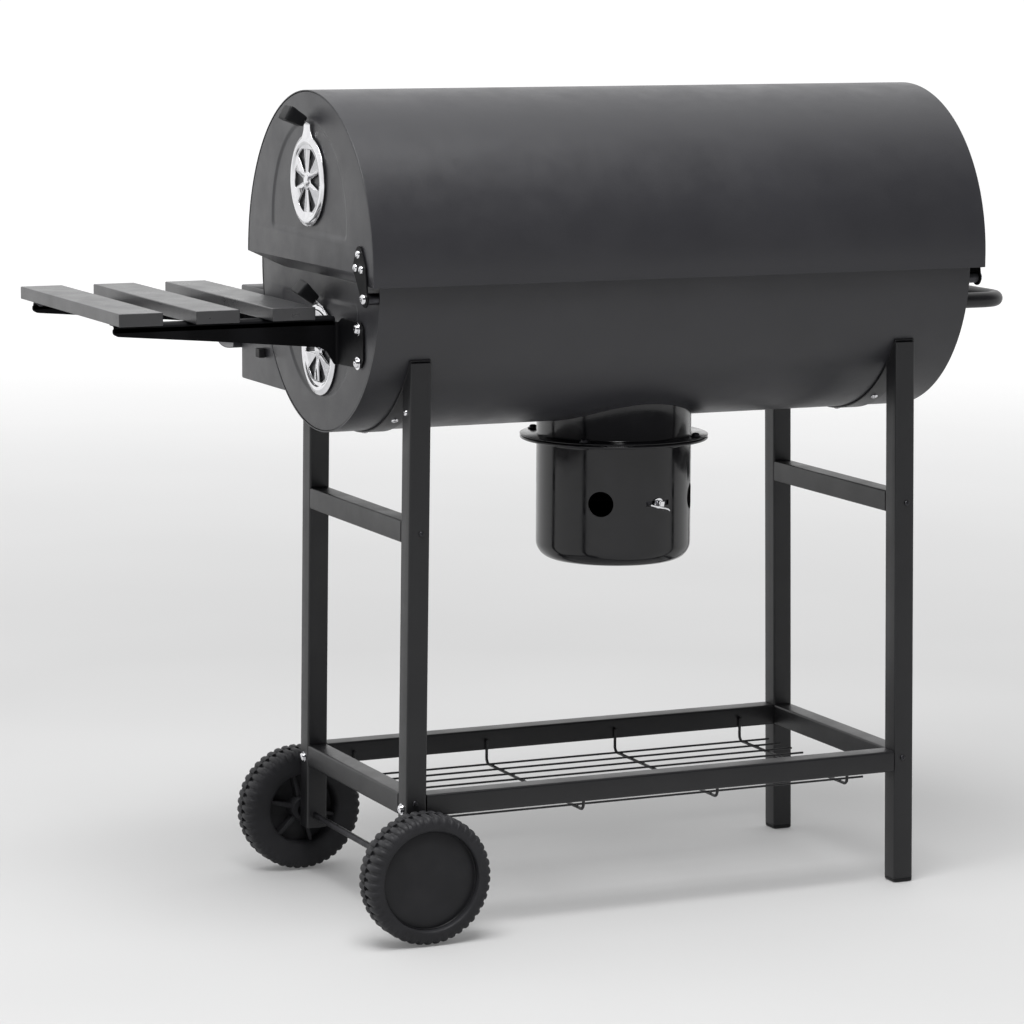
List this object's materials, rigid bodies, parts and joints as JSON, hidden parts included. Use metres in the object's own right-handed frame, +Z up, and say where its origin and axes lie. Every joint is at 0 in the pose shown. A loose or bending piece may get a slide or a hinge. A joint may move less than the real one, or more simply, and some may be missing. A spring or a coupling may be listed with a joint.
{
  "type": "barrel charcoal grill",
  "caption": "Half-drum charcoal grill on a square-tube cart with hinged lid, rotary vents, charcoal door, hanging ash pot, slatted side shelf, push handle and wheels.",
  "frame": {"origin": "floor level, below the middle of the whole grill's bounding box", "axes": "+X towards the wheels and side shelf, along the drum; +Y towards the hinge side; +Z up"},
  "size_m": [1.1065, 0.5317, 0.95],
  "materials": {
    "coat": "satin dark grey powder coat",
    "frame": "satin near-black powder coat",
    "enamel": "glossy black enamel",
    "chrome": "polished",
    "zinc": "zinc plated",
    "plastic": "fine matte texture",
    "slat": "satin dark grey paint",
    "iron": "seasoned cast iron"
  },
  "bodies": {
    "cart": {"barrel_shell": "coat", "end_cap_wheel_side": "coat", "end_cap_handle_side": "coat", "charcoal_box": "coat", "shelf_bracket_rear": "frame", "shelf_bracket_front": "frame", "push_handle": "frame", "leg_wheel_front": "frame", "leg_wheel_rear": "frame", "leg_stand_front": "frame", "leg_stand_rear": "frame", "upper_crossbar_wheel": "frame", "lower_crossbar_wheel": "frame", "upper_crossbar_stand": "frame", "lower_crossbar_stand": "frame", "rail_front": "frame", "rail_rear": "frame", "cradle_strap_wheel": "frame", "cradle_strap_stand": "frame", "wire_shelf": "frame", "ash_collar": "enamel", "hinge_pin_wheel_side": "chrome", "hinge_pin_handle_side": "chrome", "cap_vent_rivet": "chrome", "axle_rod": "zinc", "door_hinge_rod": "zinc", "grate_ledge_front": "zinc", "grate_ledge_rear": "zinc", "foot_plug_front": "plastic", "foot_plug_rear": "plastic", "bracket_block": "plastic", "shelf_slat_1": "slat", "shelf_slat_2": "slat", "shelf_slat_3": "slat"},
    "lid": {"lid_shell": "coat", "lid_handle_bar": "plastic", "lid_handle_post_wheel_side": "chrome", "lid_handle_post_handle_side": "chrome", "lid_thermometer": "chrome", "hinge_plate_wheel_side": "coat", "hinge_plate_handle_side": "coat", "lid_vent_rivet": "chrome"},
    "lid_vent": {"lid_vent_disc": "chrome", "lid_vent_knob": "plastic"},
    "cap_vent": {"cap_vent_disc": "chrome", "cap_vent_knob": "plastic"},
    "coal_door": {"charcoal_door": "coat"},
    "front_wheel": {"wheel_front": "plastic", "wheel_cap_front": "plastic"},
    "rear_wheel": {"wheel_rear": "plastic", "wheel_cap_rear": "plastic"},
    "ash_cup": {"ash_pot": "enamel"},
    "ash_damper": {"ash_damper_band": "zinc", "damper_clip": "chrome"},
    "cooking_grate_a": {"cooking_grate_wheel_side": "iron"},
    "cooking_grate_b": {"cooking_grate_handle_side": "iron"},
    "coal_grate": {"charcoal_grate": "iron"}
  },
  "joints": [
    {"name": "lid_hinge", "type": "hinge", "parent": "cart", "child": "lid", "pos_m": [-0.09335, 0.2223, 0.7276], "axis": [-1, 0, 0], "range_deg": [0, 95]},
    {"name": "lid_vent_turn", "type": "hinge", "parent": "lid", "child": "lid_vent", "pos_m": [0.29495, 0.0473, 0.8475], "axis": [1, 0, 0], "range_deg": [0, 30]},
    {"name": "cap_vent_turn", "type": "hinge", "parent": "cart", "child": "cap_vent", "pos_m": [0.28195, 0.0473, 0.654], "axis": [1, 0, 0], "range_deg": [0, 30]},
    {"name": "charcoal_door_hinge", "type": "hinge", "parent": "cart", "child": "coal_door", "pos_m": [-0.09335, -0.2127, 0.703], "axis": [-1, 0, 0], "range_deg": [0, 88]},
    {"name": "front_wheel_spin", "type": "hinge", "parent": "cart", "child": "front_wheel", "pos_m": [0.23285, -0.1492, 0.075], "axis": [0, 1, 0], "continuous": true},
    {"name": "rear_wheel_spin", "type": "hinge", "parent": "cart", "child": "rear_wheel", "pos_m": [0.23285, 0.2438, 0.075], "axis": [0, 1, 0], "continuous": true},
    {"name": "ash_pot_drop", "type": "slide", "parent": "cart", "child": "ash_cup", "axis": [0, 0, -1], "range_m": [0, 0.08]},
    {"name": "ash_damper_turn", "type": "hinge", "parent": "ash_cup", "child": "ash_damper", "pos_m": [-0.09335, 0.0473, 0.537], "axis": [0, 0, 1], "range_deg": [-7, 7]},
    {"name": "cooking_grate_a_lift", "type": "slide", "parent": "cart", "child": "cooking_grate_a", "axis": [0, 0, 1], "range_m": [0, 0.05]},
    {"name": "cooking_grate_b_lift", "type": "slide", "parent": "cart", "child": "cooking_grate_b", "axis": [0, 0, 1], "range_m": [0, 0.05]},
    {"name": "charcoal_grate_lift", "type": "slide", "parent": "cart", "child": "coal_grate", "axis": [0, 0, 1], "range_m": [0, 0.05]}
  ]
}
